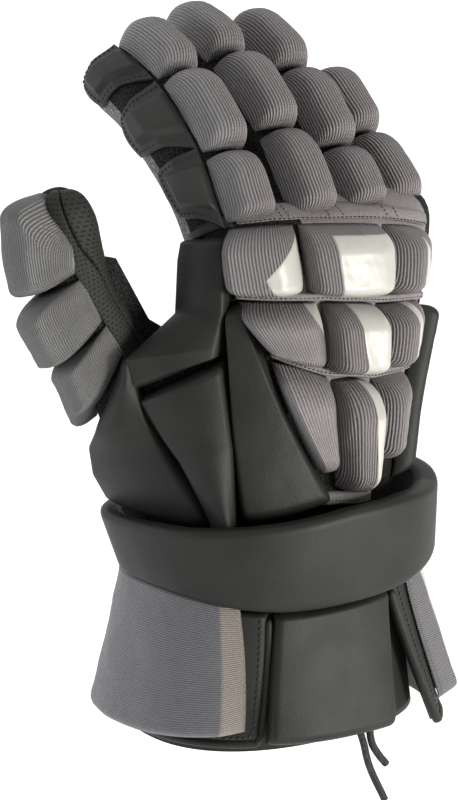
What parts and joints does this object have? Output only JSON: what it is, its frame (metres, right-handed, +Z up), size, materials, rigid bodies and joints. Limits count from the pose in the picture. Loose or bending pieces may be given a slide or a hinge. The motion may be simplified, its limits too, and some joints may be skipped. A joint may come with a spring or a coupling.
{
  "type": "lacrosse glove",
  "caption": "Right-hand lacrosse glove: padded back, fingers and thumb, thick band round the wrist and a flared cuff with padded flaps.",
  "frame": {"origin": "centre of the cuff's opening, at its rim", "axes": "+Z up from the cuff to the fingertips, -Y out of the back of the hand, -X towards the thumb"},
  "size_m": [0.1844, 0.1316, 0.3035],
  "materials": {
    "charcoal_leather": "charcoal synthetic leather with a soft sheen",
    "ribbed_knit": "grey ribbed knit over foam",
    "mesh_fabric": "black open mesh fabric",
    "lace_cord": "black woven lace"
  },
  "bodies": {
    "root": {"hand_shell": "mesh_fabric", "wrist_band": "charcoal_leather", "index_sleeve": "mesh_fabric", "middle_sleeve": "mesh_fabric", "ring_sleeve": "mesh_fabric", "little_sleeve": "mesh_fabric", "thumb_sleeve": "mesh_fabric", "index_pad_1": "ribbed_knit", "index_pad_2": "ribbed_knit", "index_pad_3": "ribbed_knit", "middle_pad_1": "ribbed_knit", "middle_pad_2": "ribbed_knit", "middle_pad_3": "ribbed_knit", "ring_pad_1": "ribbed_knit", "ring_pad_2": "ribbed_knit", "ring_pad_3": "ribbed_knit", "little_pad_1": "ribbed_knit", "little_pad_2": "ribbed_knit", "index_scale_base": "charcoal_leather", "index_scale_middle": "charcoal_leather", "index_scale_tip": "charcoal_leather", "thumb_pad_1": "ribbed_knit", "thumb_pad_2": "ribbed_knit", "thumb_pad_3": "ribbed_knit", "back_pad_1_radial": "ribbed_knit", "back_pad_1_middle": "ribbed_knit", "back_pad_1_ulnar": "ribbed_knit", "back_pad_2_radial": "ribbed_knit", "back_pad_2_middle": "ribbed_knit", "back_pad_2_ulnar": "ribbed_knit", "back_pad_3_radial": "ribbed_knit", "back_pad_3_middle": "ribbed_knit", "back_pad_3_ulnar": "ribbed_knit", "dorsal_guard": "charcoal_leather", "ulnar_guard": "charcoal_leather", "radial_upper_guard": "charcoal_leather", "radial_lower_guard": "charcoal_leather", "thumb_base_guard": "charcoal_leather", "thumb_web": "mesh_fabric", "cuff_sleeve": "charcoal_leather", "cuff_tongue": "charcoal_leather", "radial_flap": "charcoal_leather", "radial_cuff_pad": "ribbed_knit", "ulnar_flap": "charcoal_leather", "ulnar_cuff_pad": "ribbed_knit", "lace_long": "lace_cord", "lace_short": "lace_cord"}
  },
  "joints": []
}
